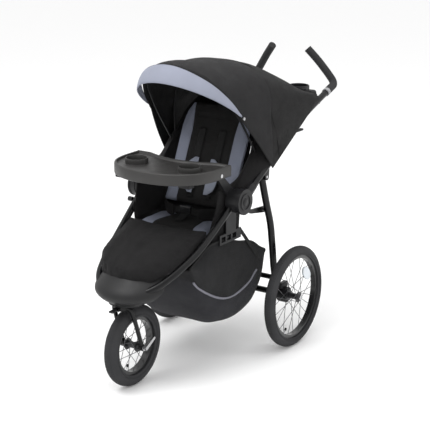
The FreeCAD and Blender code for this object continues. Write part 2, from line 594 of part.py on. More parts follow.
keep(feature("rear_crossbars", Part.makeCompound([axle_sleeve, crossbar])), "rear_crossbars")
drum = rod_x(224.4, TRACK - REAR_HUB_HALF - 1, REAR_Y, REAR_Z, 31).cut(axle_seat)
shoe_arm = block(226, 246, REAR_Y - 24, REAR_Y + 24, REAR_Z + 26, REAR_Z + 50, 5)
keep(feature("brake_drums", both(drum.fuse(shoe_arm).cut(axle_seat))), "brake_drums")
cap = rod_x(TRACK + REAR_HUB_HALF + 0.6, 319, REAR_Y, REAR_Z, 10).cut(axle_seat)
keep(feature("rear_fasteners", both(cap, rod_x(180, 208, *LINK_END, 4))), "rear_fasteners")
sleeve_hole = rod_x(-60, 60, *BAR, dim("bar_radius") + dim("running_gap"))
pedal = rod_x(-40, 40, *BAR, 15).fuse(
    block(-36, 36, BAR[0] + 6, BAR[0] + 74, BAR[1] - 6, BAR[1] + 4, 2)).cut(sleeve_hole)
keep(feature("brake_pedal", pedal), "brake_pedal")

# -------------------------------------------------------------------- link
mid_link = ((LINK[0] + LINK_END[0]) / 2 - 6, (LINK[1] + LINK_END[1]) / 2 - 14)
OPEN_HOLE = 7.5
link = capsule(LINK, mid_link, 9, 8, 184, 190)
link = link.fuse(capsule(mid_link, LINK_END, 8, OPEN_HOLE + 5, 184, 190))
link = link.cut([rod_x(180, 200, *LINK, 4 + dim("running_gap")),
                 rod_x(180, 200, *LINK_END, OPEN_HOLE)])
keep(feature("fold_links", both(link)), "fold_links")

# ------------------------------------------------------------------ export
doc.recompute()
for obj in doc.Objects:
    bad = [s for s in obj.State if s in ("Invalid", "Error")]
    if bad:
        raise RuntimeError("%s failed: %s" % (obj.Label, obj.State))
for obj in nodes:
    if obj.Shape.isNull() or not obj.Shape.isValid() or not obj.Shape.Solids:
        raise RuntimeError("%s has no valid solid" % obj.Label)
os.makedirs("parts", exist_ok=True)
for obj in nodes:
    obj.Shape.exportStep("parts/%s.step" % obj.Label)
    print("%-20s %2d solid(s) %9.1f cm3" % (obj.Label, len(obj.Shape.Solids), obj.Shape.Volume / 1e3))
print(len(nodes), "nodes")
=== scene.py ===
"""Looks of a three-wheeled jogging stroller, built round its CAD frame.

Metres, +Z up. The stroller faces -Y and +X is the pusher's left.
"""
import json
import logging
import math
from collections.abc import Callable, Sequence
from dataclasses import dataclass
from enum import Enum

import bmesh
import bpy
from mathutils import Matrix, Vector, noise


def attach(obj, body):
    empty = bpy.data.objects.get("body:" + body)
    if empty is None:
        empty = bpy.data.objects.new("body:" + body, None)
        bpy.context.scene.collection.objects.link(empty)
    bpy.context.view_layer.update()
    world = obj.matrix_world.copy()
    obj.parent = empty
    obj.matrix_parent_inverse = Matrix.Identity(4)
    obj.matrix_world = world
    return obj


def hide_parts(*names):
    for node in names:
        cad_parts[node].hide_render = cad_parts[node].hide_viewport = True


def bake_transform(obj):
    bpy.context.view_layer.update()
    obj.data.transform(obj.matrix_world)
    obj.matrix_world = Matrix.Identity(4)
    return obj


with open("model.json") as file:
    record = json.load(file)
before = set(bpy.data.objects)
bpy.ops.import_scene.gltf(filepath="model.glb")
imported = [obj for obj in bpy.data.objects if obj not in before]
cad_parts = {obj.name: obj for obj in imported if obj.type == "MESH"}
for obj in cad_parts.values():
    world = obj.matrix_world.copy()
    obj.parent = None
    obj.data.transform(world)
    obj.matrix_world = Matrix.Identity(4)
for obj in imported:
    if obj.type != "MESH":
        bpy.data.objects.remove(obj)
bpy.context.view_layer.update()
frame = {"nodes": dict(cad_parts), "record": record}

log = logging.getLogger("stroller")
Place = Callable[[float, float], Vector]
Colour = tuple[float, float, float]
NEAR, FAR = 1, -1
SIDES = (("left", NEAR), ("right", FAR))
ACROSS, UP = Vector((1, 0, 0)), Vector((0, 0, 1))


# ------------------------------------------------------------------ finishes
class Texture(Enum):
    """What the surface of a finish is made of."""

    WEAVE = "woven cloth"
    MOULDED = "moulded plastic"
    PAINT = "powder coat"
    RUBBER = "tyre rubber"
    FOAM = "foam grip"
    METAL = "drawn metal"


class Graph:
    """Node tree of one material, with short calls that add and link nodes."""

    def __init__(self, name: str) -> None:
        """Make the material and find its shader."""
        self.material = bpy.data.materials.new(name)
        self.material.use_nodes = True
        self.shader = self.material.node_tree.nodes["Principled BSDF"]

    def add(self, kind: str, sockets: dict | None = None, **settings) -> bpy.types.Node:
        """Add a node.

        Args:
            kind: The node's type.
            sockets: Input name or number to a value, or to the socket that feeds it.
            settings: Properties of the node itself.

        Returns:
            The new node.
        """
        node = self.material.node_tree.nodes.new(kind)
        for key, value in settings.items():
            setattr(node, key, value)
        for key, value in (sockets or {}).items():
            self.feed(node.inputs[key], value)
        return node

    def feed(self, socket: bpy.types.NodeSocket, value) -> None:
        """Link a socket to its source, or set its value."""
        if isinstance(value, bpy.types.NodeSocket):
            self.material.node_tree.links.new(value, socket)
        else:
            socket.default_value = value


@dataclass(frozen=True)
class Finish:
    """One material: its colour, gloss and surface relief."""

    name: str
    colour: Colour
    texture: Texture
    roughness: float
    pitch: float = 0.002
    relief: float = 0.0002
    mottle: float = 0.12
    metallic: float = 0.0
    sheen: float = 0.0
    coat: float = 0.0
    specular: float = 0.5
    second: Colour | None = None

    def height(self, graph: Graph, place: bpy.types.NodeSocket) -> bpy.types.NodeSocket:
        """Relief of the surface, from its texture.

        Args:
            graph: The material's graph.
            place: Object coordinates.

        Returns:
            The socket of the height, about -1 to 1.
        """
        if self.texture is Texture.WEAVE:
            turned = graph.add("ShaderNodeVectorMath", {0: place, 3: 2 * math.pi / self.pitch},
                               operation="SCALE")
            waves = graph.add("ShaderNodeVectorMath", {0: turned.outputs[0]}, operation="SINE")
            parts = graph.add("ShaderNodeSeparateXYZ", {0: waves.outputs[0]})
            shifted = graph.add("ShaderNodeCombineXYZ", {0: parts.outputs[1], 1: parts.outputs[2],
                                                         2: parts.outputs[0]})
            crossed = graph.add("ShaderNodeVectorMath", {0: waves.outputs[0],
                                                         1: shifted.outputs[0]},
                                operation="DOT_PRODUCT")
            return crossed.outputs["Value"]
        if self.texture is Texture.FOAM:
            cells = graph.add("ShaderNodeTexVoronoi", {"Vector": place, "Scale": 1 / self.pitch})
            return cells.outputs["Distance"]
        stretch = (1.0, 12.0, 12.0) if self.texture is Texture.METAL else (1.0, 1.0, 1.0)
        lined = graph.add("ShaderNodeMapping", {"Vector": place, "Scale": stretch})
        grain = graph.add("ShaderNodeTexNoise", {"Vector": lined.outputs[0],
                                                 "Scale": 1 / self.pitch, "Detail": 3.0})
        return grain.outputs["Fac"]

    def make(self) -> bpy.types.Material:
        """Build the material from nodes."""
        graph = Graph(self.name)
        place = graph.add("ShaderNodeTexCoord").outputs["Object"]
        height = self.height(graph, place)
        cloudy = graph.add("ShaderNodeTexNoise", {"Vector": place, "Scale": 9.0, "Detail": 5.0})
        spread = graph.add("ShaderNodeMapRange", {"Value": cloudy.outputs["Fac"],
                                                  "From Min": 0.3, "From Max": 0.7})
        dark = (*[c * (1 - self.mottle) for c in self.colour], 1.0)
        light = (*[c * (1 + self.mottle) for c in self.colour], 1.0)
        colour = graph.add("ShaderNodeMix", {0: spread.outputs[0], 6: dark, 7: light},
                           data_type="RGBA").outputs[2]
        if self.second is not None:
            side = graph.add("ShaderNodeAttribute", attribute_name="panel").outputs["Fac"]
            edge = graph.add("ShaderNodeMath", {0: side, 1: 3000.0, 2: 0.5},
                             operation="MULTIPLY_ADD", use_clamp=True)
            inner = (*self.second, 1.0)
            colour = graph.add("ShaderNodeMix", {0: edge.outputs[0], 6: colour, 7: inner},
                               data_type="RGBA").outputs[2]
            away = graph.add("ShaderNodeMath", {0: side}, operation="ABSOLUTE")
            groove = graph.add("ShaderNodeMapRange", {"Value": away.outputs[0],
                                                      "From Max": 0.003, "To Min": -6.0,
                                                      "To Max": 0.0})
            height = graph.add("ShaderNodeMath", {0: height, 1: groove.outputs[0]}).outputs[0]
        graph.feed(graph.shader.inputs["Base Color"], colour)
        fine = graph.add("ShaderNodeTexNoise", {"Vector": place, "Scale": 31.0, "Detail": 4.0})
        gloss = graph.add("ShaderNodeMapRange", {"Value": fine.outputs["Fac"], "From Min": 0.3,
                                                 "From Max": 0.7, "To Min": self.roughness - 0.05,
                                                 "To Max": self.roughness + 0.05})
        graph.feed(graph.shader.inputs["Roughness"], gloss.outputs[0])
        bump = graph.add("ShaderNodeBump", {"Height": height, "Distance": self.relief,
                                            "Strength": 1.0})
        graph.feed(graph.shader.inputs["Normal"], bump.outputs[0])
        fixed = {"Metallic": self.metallic, "Sheen Weight": self.sheen, "Sheen Roughness": 0.5,
                 "Coat Weight": self.coat, "Coat Roughness": 0.12,
                 "Specular IOR Level": self.specular}
        for socket, value in fixed.items():
            graph.shader.inputs[socket].default_value = value
        return graph.material


FINISHES = {finish.name: finish for finish in (
    Finish("tyre_rubber", (0.034, 0.034, 0.036), Texture.RUBBER, 0.78, 0.004, 0.0003, 0.18,
           specular=0.2),
    Finish("rim_black", (0.012, 0.012, 0.013), Texture.PAINT, 0.32, 0.01, 0.0001, coat=0.3),
    Finish("spoke_steel", (0.10, 0.10, 0.105), Texture.METAL, 0.35, 0.004, 0.0001, metallic=0.8),
    Finish("hub_metal", (0.05, 0.05, 0.053), Texture.METAL, 0.38, 0.004, 0.0001, metallic=0.7),
    Finish("frame_black", (0.004, 0.004, 0.0045), Texture.PAINT, 0.3, 0.012, 0.0002, coat=0.05,
           specular=0.22),
    Finish("bare_steel", (0.55, 0.55, 0.56), Texture.METAL, 0.25, 0.004, 0.0001, metallic=1.0),
    Finish("black_plastic", (0.009, 0.009, 0.010), Texture.MOULDED, 0.42, 0.0012, 0.0001,
           specular=0.25),
    Finish("panel_grey", (0.014, 0.014, 0.0145), Texture.MOULDED, 0.46, 0.0012, 0.00008,
           specular=0.25),
    Finish("tray_plastic", (0.030, 0.029, 0.028), Texture.MOULDED, 0.45, 0.0012, 0.00015,
           specular=0.35),
    Finish("grip_foam", (0.020, 0.020, 0.021), Texture.FOAM, 0.75, 0.004, 0.0009, specular=0.3),
    Finish("collar_grey", (0.27, 0.27, 0.28), Texture.MOULDED, 0.42, 0.0012, 0.0001),
    Finish("shell_fabric", (0.0095, 0.009, 0.0095), Texture.WEAVE, 0.85, 0.0016, 0.0003, 0.2,
           sheen=0.02, specular=0.2),
    # second colour: the sheet is coloured darker behind the seam over the middle bow
    Finish("canopy_fabric", (0.013, 0.0125, 0.0135), Texture.WEAVE, 0.8, 0.0014, 0.0003, 0.14,
           sheen=0.03, specular=0.25, second=(0.0075, 0.0072, 0.0075)),
    Finish("visor_fabric", (0.33, 0.35, 0.43), Texture.WEAVE, 0.75, 0.0014, 0.0003, 0.05,
           sheen=0.03, specular=0.25),
    Finish("webbing", (0.009, 0.009, 0.009), Texture.WEAVE, 0.7, 0.003, 0.0005, 0.15,
           specular=0.3),
    Finish("basket_fabric", (0.0085, 0.0085, 0.0095), Texture.WEAVE, 0.72, 0.0018, 0.0003, 0.2,
           sheen=0.02, specular=0.25, second=(0.016, 0.016, 0.020)),
    Finish("lap_plastic", (0.010, 0.010, 0.011), Texture.MOULDED, 0.22, 0.0012, 0.00005),
    Finish("seat_cloth", (0.25, 0.27, 0.34), Texture.WEAVE, 0.85, 0.0022, 0.0005, 0.06,
           sheen=0.03, specular=0.2, second=(0.012, 0.0115, 0.0115)),
    Finish("strap_pad_cloth", (0.25, 0.27, 0.33), Texture.WEAVE, 0.85, 0.0022, 0.0005, 0.06,
           sheen=0.03, specular=0.2),
    Finish("reflective_piping", (0.16, 0.16, 0.19), Texture.WEAVE, 0.45, 0.0012, 0.0001, 0.05),
    Finish("reflector_white", (0.62, 0.66, 0.70), Texture.MOULDED, 0.2, 0.003, 0.0004, 0.05,
           coat=0.6),
)}
MATERIALS = {name: finish.make() for name, finish in FINISHES.items()}


# ------------------------------------------------------------- shape helpers
def smooth_rows(rows: Sequence[Sequence[float]], t: float) -> list[float]:
    """Read a smooth curve through rows of numbers.

    Args:
        rows: The rows, evenly spaced.
        t: Where along them, 0 to 1.

    Returns:
        The numbers there.
    """
    last = len(rows) - 1
    place = min(max(t, 0.0), 1.0) * last
    i = min(int(place), last - 1)
    f = place - i
    around = rows[max(i - 1, 0)], rows[i], rows[i + 1], rows[min(i + 2, last)]
    return [0.5 * (2 * b + (c - a) * f + (2 * a - 5 * b + 4 * c - d) * f * f
                   + (3 * b - a - 3 * c + d) * f ** 3) for a, b, c, d in zip(*around)]


def mirror_x(point: Vector, side: int) -> Vector:
    """The point on the near side, or its mirror on the far side."""
    return Vector((point.x * side, point.y, point.z))


def sheet_mesh(place: Place, columns: int, rows: int) -> bmesh.types.BMesh:
    """A grid laid over a surface.

    Args:
        place: Gives the point at (u, v), each 0 to 1.
        columns: Faces along u.
        rows: Faces along v.

    Returns:
        The mesh under construction.
    """
    bm = bmesh.new()
    bmesh.ops.create_grid(bm, x_segments=columns, y_segments=rows, size=0.5)
    for vert in bm.verts:
        vert.co = place(vert.co.x + 0.5, vert.co.y + 0.5)
    bmesh.ops.remove_doubles(bm, verts=bm.verts, dist=1e-5)
    bmesh.ops.dissolve_degenerate(bm, dist=1e-6, edges=bm.edges)
    return bm


def crumple(bm: bmesh.types.BMesh, amount: float, stretch: Vector) -> None:
    """Move points along their normals by smooth noise.

    Args:
        bm: The mesh.
        amount: Largest move, in metres.
        stretch: How fast the noise changes along each axis, per metre.
    """
    bm.normal_update()
    for vert in bm.verts:
        vert.co += vert.normal * amount * noise.noise(vert.co * stretch)


def lathe(profile: Sequence[tuple[float, float]], axis: Vector, base: Vector,
          steps: int = 40) -> bmesh.types.BMesh:
    """Turn a profile about an axis.

    Args:
        profile: (along the axis, radius) points.
        axis: Direction of the axis.
        base: Point where the profile's along is 0.
        steps: Faces round the axis.

    Returns:
        The mesh under construction.
    """
    bm = bmesh.new()
    verts = [bm.verts.new((radius, 0.0, along)) for along, radius in profile]
    edges = [bm.edges.new(pair) for pair in zip(verts, verts[1:])]
    bmesh.ops.spin(bm, geom=verts + edges, axis=(0, 0, 1), cent=(0, 0, 0), steps=steps,
                   angle=2 * math.pi, use_merge=True, use_duplicate=False)
    bmesh.ops.remove_doubles(bm, verts=bm.verts, dist=1e-6)
    bmesh.ops.recalc_face_normals(bm, faces=bm.faces)
    turn = Vector((0, 0, 1)).rotation_difference(axis).to_matrix().to_4x4()
    bmesh.ops.transform(bm, matrix=Matrix.Translation(base) @ turn, verts=bm.verts)
    return bm


def mesh_object(name: str, bm: bmesh.types.BMesh) -> bpy.types.Object:
    """Put a mesh under construction into a new object and free it.

    Args:
        name: Name of the object and its mesh.
        bm: The mesh under construction.

    Returns:
        The object, not yet linked.
    """
    mesh = bpy.data.meshes.new(name)
    bm.to_mesh(mesh)
    bm.free()
    return bpy.data.objects.new(name, mesh)


def rounded(angle: float, squareness: float) -> tuple[float, float]:
    """How far across and up a rounded-square arch is at an angle, each 0 to 1."""
    power = 2 / squareness
    return abs(math.cos(angle)) ** power, abs(math.sin(angle)) ** power


@dataclass
class Workshop:
    """Turns meshes into finished pieces of the stroller."""

    count: int = 0

    def piece(self, name: str, bm: bmesh.types.BMesh, finish: str, body: str | None,
              slot: str, replaces: Sequence[str] = (), thick: float = 0.0,
              levels: int = 0, bevel: float = 0.0, sharp: float = 40.0) -> bpy.types.Object:
        """Make an object of a mesh, dress it and put it on its body.

        Args:
            name: The piece's name.
            bm: Its mesh, which is freed.
            finish: Name of its finish.
            body: The CAD body it rides on, or None to leave it on no body.
            slot: The record's material slot; not used.
            replaces: CAD nodes it stands for.
            thick: Thickness given to a sheet.
            levels: Subdivision levels.
            bevel: Width of rounded edges.
            sharp: Edges that turn more than this many degrees stay sharp.

        Returns:
            The object.
        """
        return self.dress(mesh_object(name, bm), finish, body, slot, replaces, thick, levels,
                          bevel, sharp)

    def dress(self, obj: bpy.types.Object, finish: str, body: str | None, slot: str,
              replaces: Sequence[str] = (), thick: float = 0.0, levels: int = 0,
              bevel: float = 0.0, sharp: float = 40.0) -> bpy.types.Object:
        if obj.name not in bpy.context.scene.collection.objects:
            bpy.context.scene.collection.objects.link(obj)
        obj.data.polygons.foreach_set("use_smooth", [True] * len(obj.data.polygons))
        obj.data.set_sharp_from_angle(angle=math.radians(sharp))
        obj.data.materials.clear()
        obj.data.materials.append(MATERIALS[finish])
        if thick:
            wall = obj.modifiers.new("Wall", "SOLIDIFY")
            wall.thickness = thick
            wall.offset = 0.0
        if bevel:
            rounding = obj.modifiers.new("Rounding", "BEVEL")
            rounding.width = bevel
            rounding.segments = 3
            rounding.limit_method = "ANGLE"
            rounding.angle_limit = math.radians(sharp)
        if levels:
            finer = obj.modifiers.new("Finer", "SUBSURF")
            finer.levels = levels
            finer.render_levels = levels
        if body:
            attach(obj, body)
        if replaces:
            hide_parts(*replaces)
        self.count += 1
        log.info("%s: %d faces", obj.name, len(obj.data.polygons))
        return obj

    def tube(self, name: str, points: Sequence[Vector], radius: float, finish: str,
             body: str | None, slot: str, cyclic: bool = False) -> bpy.types.Object:
        """A round tube, piping or bar along points.

        Args:
            name: The piece's name.
            points: Points of its centreline, close together.
            radius: Its radius.
            finish: Name of its finish.
            body: The CAD body it rides on.
            slot: The record's material slot; not used.
            cyclic: True where it closes on itself.

        Returns:
            The object.
        """
        curve = bpy.data.curves.new(name + "_line", "CURVE")
        curve.dimensions = "3D"
        spline = curve.splines.new("POLY")
        spline.points.add(len(points) - 1)
        for knot, point in zip(spline.points, points):
            knot.co = (*point, 1.0)
        spline.use_cyclic_u = cyclic
        curve.bevel_depth = radius
        curve.bevel_resolution = 2
        curve.use_fill_caps = not cyclic
        rail = bpy.data.objects.new(name + "_line", curve)
        mesh = bpy.data.meshes.new_from_object(rail)
        bpy.data.objects.remove(rail)
        return self.dress(bpy.data.objects.new(name, mesh), finish, body, slot)

    def strap(self, name: str, path: Callable[[float], Vector], across: Vector, width: float,
              finish: str, body: str, slot: str, columns: int = 30,
              thick: float = 0.0018) -> bpy.types.Object:
        """A flat strap that follows a path, as wide as given across it."""
        def place(u: float, v: float) -> Vector:
            return path(u) + across * (width * (v - 0.5))
        return self.piece(name, sheet_mesh(place, columns, 4), finish, body, slot, thick=thick)


def set_panel(obj: bpy.types.Object, distance: Callable[[Vector], float]) -> None:
    """Store how far inside the second colour's panel each point lies, in metres."""
    panel = obj.data.attributes.new("panel", "FLOAT", "POINT")
    panel.data.foreach_set("value", [distance(vert.co) for vert in obj.data.vertices])


@dataclass
class Pad:
    """A stuffed piece, made from a closed form and blown up as cloth."""

    name: str
    corner: Callable[[float, float, float], Vector]
    cap: float = 0.006
    voxel: float = 0.006
    pressure: float = 4.0
    cuts: int = 11
    frames: int = 20

    def form(self) -> bpy.types.Object:
        """The closed form before stuffing: a cube laid out by the corner function."""
        bm = bmesh.new()
        bmesh.ops.create_cube(bm, size=2.0)
        bmesh.ops.subdivide_edges(bm, edges=bm.edges, cuts=self.cuts, use_grid_fill=True)
        for vert in bm.verts:
            vert.co = self.corner(*vert.co)
        bmesh.ops.recalc_face_normals(bm, faces=bm.faces)
        obj = mesh_object(self.name, bm)
        bpy.context.scene.collection.objects.link(obj)
        obj.data.remesh_voxel_size = self.voxel
        bpy.context.view_layer.objects.active = obj
        bpy.ops.object.voxel_remesh()
        return obj

    def stuff(self, obj: bpy.types.Object) -> None:
        """Blow the form up by cloth simulation, each point held within the cap."""
        rest = [vert.co.copy() for vert in obj.data.vertices]
        cloth = obj.modifiers.new("Stuffing", "CLOTH")
        cloth.settings.use_pressure = True
        cloth.settings.uniform_pressure_force = self.pressure
        cloth.settings.effector_weights.gravity = 0.0
        scene = bpy.context.scene
        for step in range(1, self.frames + 1):
            scene.frame_set(step)
        graph = bpy.context.evaluated_depsgraph_get()
        blown = [vert.co.copy() for vert in obj.evaluated_get(graph).data.vertices]
        obj.modifiers.remove(cloth)
        scene.frame_set(1)
        for vert, start, end in zip(obj.data.vertices, rest, blown):
            move = end - start
            vert.co = start + move * min(1.0, self.cap / max(move.length, 1e-9))

    def make(self) -> bpy.types.Object:
        """The stuffed piece, not yet dressed."""
        obj = self.form()
        self.stuff(obj)
        return obj


def press(obj: bpy.types.Object, depth: Callable[[Vector], float]) -> None:
    """Move each point of an object inwards along its normal by a depth in metres."""
    normals = [vert.normal.copy() for vert in obj.data.vertices]
    for vert, normal in zip(obj.data.vertices, normals):
        vert.co -= normal * depth(vert.co)


def channel(distance: float, width: float) -> float:
    """Depth share of a sewn channel at a distance from its line."""
    return math.exp(-(distance / width) ** 2)


# ------------------------------------------------------------------- wheels
@dataclass
class Wheel:
    """Tyre, valve and reflector of one wheel."""

    prefix: str
    side: str
    body: str
    centre: Vector
    middle: float
    section: float
    reflector: bool
    blocks: int = 96
    relief: float = 0.0009
    valve_angle: float = 244.0
    reflector_angle: float = 44.0
    reflector_radius: float = 0.108

    @property
    def rim_radius(self) -> float:
        """Radius where the tyre's bead meets the rim."""
        return self.middle - 0.62 * self.section

    def tyre(self, shop: Workshop) -> None:
        """Air tyre with a block tread pressed out of its crown."""
        bm = bmesh.new()
        ring = bmesh.ops.create_circle(bm, segments=28, radius=self.section - self.relief)
        turn = Matrix.Rotation(math.pi / 2, 4, "X")
        bmesh.ops.transform(bm, matrix=turn, verts=ring["verts"])
        for vert in bm.verts:
            vert.co.z = max(vert.co.z + self.middle, self.rim_radius)
        bmesh.ops.remove_doubles(bm, verts=bm.verts, dist=1e-5)
        bmesh.ops.spin(bm, geom=bm.verts[:] + bm.edges[:], axis=(1, 0, 0), cent=(0, 0, 0),
                       steps=self.blocks, angle=2 * math.pi, use_merge=True,
                       use_duplicate=False)
        bmesh.ops.remove_doubles(bm, verts=bm.verts, dist=1e-6)
        bmesh.ops.recalc_face_normals(bm, faces=bm.faces)
        tread = [face for face in bm.faces
                 if face.calc_center_median().yz.length > self.middle + 0.70 * self.section]
        bmesh.ops.inset_individual(bm, faces=tread, thickness=0.0011, depth=self.relief)
        bmesh.ops.translate(bm, vec=self.centre, verts=bm.verts)
        shop.piece(f"{self.prefix}_tyre_treaded{self.side}", bm, "tyre_rubber", self.body,
                   "tyre_rubber", [f"{self.prefix}_tyre{self.side}"], sharp=28)

    def bead_lines(self, shop: Workshop) -> None:
        """Raised line moulded round each side wall."""
        for name, way in (("inner", -1), ("outer", 1)):
            radius = self.middle - 0.25 * self.section
            out = 0.955 * self.section * way
            points = [self.centre + Vector((out, radius * math.cos(a), radius * math.sin(a)))
                      for a in (2 * math.pi * i / 96 for i in range(96))]
            shop.tube(f"{self.prefix}_tyre_line_{name}{self.side}", points, 0.0012,
                      "tyre_rubber", self.body, "tyre_rubber", cyclic=True)

    def valve(self, shop: Workshop) -> None:
        """Valve stem with its cap, standing from the rim towards the hub."""
        angle = math.radians(self.valve_angle)
        out = Vector((0, math.cos(angle), math.sin(angle)))
        foot = self.centre + out * (self.rim_radius - 0.011)
        stem = [(-0.002, 0.0), (-0.002, 0.003), (0.0, 0.003), (0.002, 0.0045), (0.004, 0.003),
                (0.016, 0.003), (0.016, 0.0)]
        cap = [(0.015, 0.0), (0.015, 0.0046), (0.024, 0.0044), (0.026, 0.0034), (0.026, 0.0)]
        for part, profile, finish in (("stem", stem, "bare_steel"), ("cap", cap, "black_plastic")):
            shop.piece(f"{self.prefix}_valve_{part}{self.side}", lathe(profile, -out, foot, 16),
                       finish, self.body, finish)

    def spoke_reflector(self, shop: Workshop, outward: int) -> None:
        """White oval reflector clipped to the spokes on the outer side."""
        angle = math.radians(self.reflector_angle)
        away = Vector((0, math.cos(angle), math.sin(angle)))
        along = Vector((0, -away.z, away.y))
        middle = (self.centre + away * self.reflector_radius
                  + Vector((0.006 * outward, 0, 0)))
        bm = bmesh.new()
        oval = bmesh.ops.create_circle(bm, segments=36, radius=1.0, cap_ends=True)
        for vert in oval["verts"]:
            vert.co = middle + along * (0.036 * vert.co.x) + away * (0.021 * vert.co.y)
        raised = bmesh.ops.extrude_face_region(bm, geom=bm.faces[:])["geom"]
        tops = [item for item in raised if isinstance(item, bmesh.types.BMVert)]
        bmesh.ops.translate(bm, vec=(0.008 * outward, 0, 0), verts=tops)
        bmesh.ops.recalc_face_normals(bm, faces=bm.faces)
        shop.piece(f"{self.prefix}_reflector{self.side}", bm, "reflector_white", self.body,
                   "collar_grey", bevel=0.002)

    def build(self, shop: Workshop) -> None:
        """Make every piece of the wheel."""
        self.tyre(shop)
        self.bead_lines(shop)
        self.valve(shop)
        if self.reflector:
            self.spoke_reflector(shop, 1 if self.centre.x > 0 else -1)


# ------------------------------------------------------------------- canopy
@dataclass
class Canopy:
    """The canopy's one sheet over its bows, with seams and hems."""

    pivot: Vector = Vector((0, 0.065, 0.746))
    corner: Vector = Vector((0.246, 0.066, 0.733))
    clamp: Vector = Vector((0.2345, 0.372, 0.904))
    side_share: float = 0.17
    bulge: float = 0.006
    seam_angle: float = 84.0
    # angle about the pivot, half width, shoulder radius, top radius, foot share, squareness
    stations: tuple = ((128.5, 0.204, 0.240, 0.504, 0.0, 2.05),
                       (110.0, 0.212, 0.215, 0.412, 0.03, 2.2),
                       (94.0, 0.218, 0.190, 0.379, 0.10, 2.4),
                       (78.0, 0.224, 0.200, 0.366, 0.22, 2.4),
                       (62.0, 0.228, 0.225, 0.364, 0.42, 2.4),
                       (48.0, 0.230, 0.285, 0.374, 0.70, 2.4),
                       (35.0, 0.229, 0.366, 0.3915, 1.0, 2.4),
                       (29.0, 0.222, 0.415, 0.436, 1.14, 2.4))

    def at_radius(self, x: float, degrees: float, radius: float) -> Vector:
        """Point at a radius from the pivot in one direction."""
        a = math.radians(degrees)
        return self.pivot + Vector((x, radius * math.cos(a), radius * math.sin(a)))

    def place(self, u: float, v: float) -> Vector:
        """Point of the sheet: u from the front edge to the rear, v from near to far."""
        angle, half, shoulder, top, share, squareness = smooth_rows(self.stations, u)
        side, w = (NEAR, v) if v < 0.5 else (FAR, 1 - v)
        if w < self.side_share:
            t = w / self.side_share
            foot = self.corner.lerp(self.clamp, share)
            point = foot.lerp(self.at_radius(half, angle, shoulder), t)
            point.x += self.bulge * math.sin(math.pi * t)
        else:
            t = (w - self.side_share) / (0.5 - self.side_share) * math.pi / 2
            across, up = rounded(t, squareness)
            point = self.at_radius(half * across, angle, shoulder + (top - shoulder) * up)
        return mirror_x(point, side)

    def behind_seam(self, point: Vector) -> float:
        """Distance of a point behind the seam between front and rear cloth; the sheet is coloured
        darker there.
        """
        a = math.radians(self.seam_angle)
        arm = point - self.pivot
        return arm.y * math.sin(a) - arm.z * math.cos(a)

    def join(self, obj: bpy.types.Object) -> None:
        """Bake the placement of a piece of the canopy into its mesh."""
        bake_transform(obj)

    def build(self, shop: Workshop) -> None:
        """Make the sheet, the panel behind it, its hems and the seam over the middle bow."""
        bm = sheet_mesh(self.place, 44, 96)
        crumple(bm, 0.0035, Vector((9, 14, 14)))
        cloth = shop.piece("canopy_cloth", bm, "canopy_fabric", None, "canopy_fabric",
                           ["canopy_front", "canopy_rear"], thick=0.0016)
        set_panel(cloth, self.behind_seam)
        self.join(cloth)
        self.rear_panel(shop)
        steps = [i / 96 for i in range(97)]
        for name, u, radius, finish in (("front_piping", 0, 0.0022, "webbing"),
                                        ("rear_hem", 1, 0.0020, "webbing"),
                                        ("middle_seam", self.seam_share(), 0.0016,
                                         "shell_fabric")):
            self.join(shop.tube(f"canopy_{name}", [self.place(u, v) for v in steps], radius,
                                finish, None, finish))
        for name, side in SIDES:
            edge = [mirror_x(self.place(u / 30, 0.0), side) for u in range(31)]
            self.join(shop.tube(f"canopy_side_hem_{name}", edge, 0.0018, "webbing", None,
                                "webbing"))

    def rear_panel(self, shop: Workshop) -> None:
        """Cloth behind the head of the seat, hung from the rear bow."""
        line = ((0.142, 0.875), (0.178, 0.935), (0.270, 0.948), (0.360, 0.954), (0.442, 0.960))

        def place(u: float, v: float) -> Vector:
            a = 2 * u - 1
            y, z = smooth_rows(line, v)
            return Vector((0.192 * a, y, z - 0.020 * a ** 4 * (1 - v)))
        bm = sheet_mesh(place, 24, 20)
        crumple(bm, 0.003, Vector((10, 14, 14)))
        cloth = shop.piece("canopy_rear_panel", bm, "shell_fabric", "upper_frame",
                           "shell_fabric", thick=0.0016)

    def seam_share(self) -> float:
        """Where along the sheet the seam over the middle bow runs."""
        steps = [i / 200 for i in range(201)]
        return min(steps, key=lambda u: abs(smooth_rows(self.stations, u)[0] - self.seam_angle))


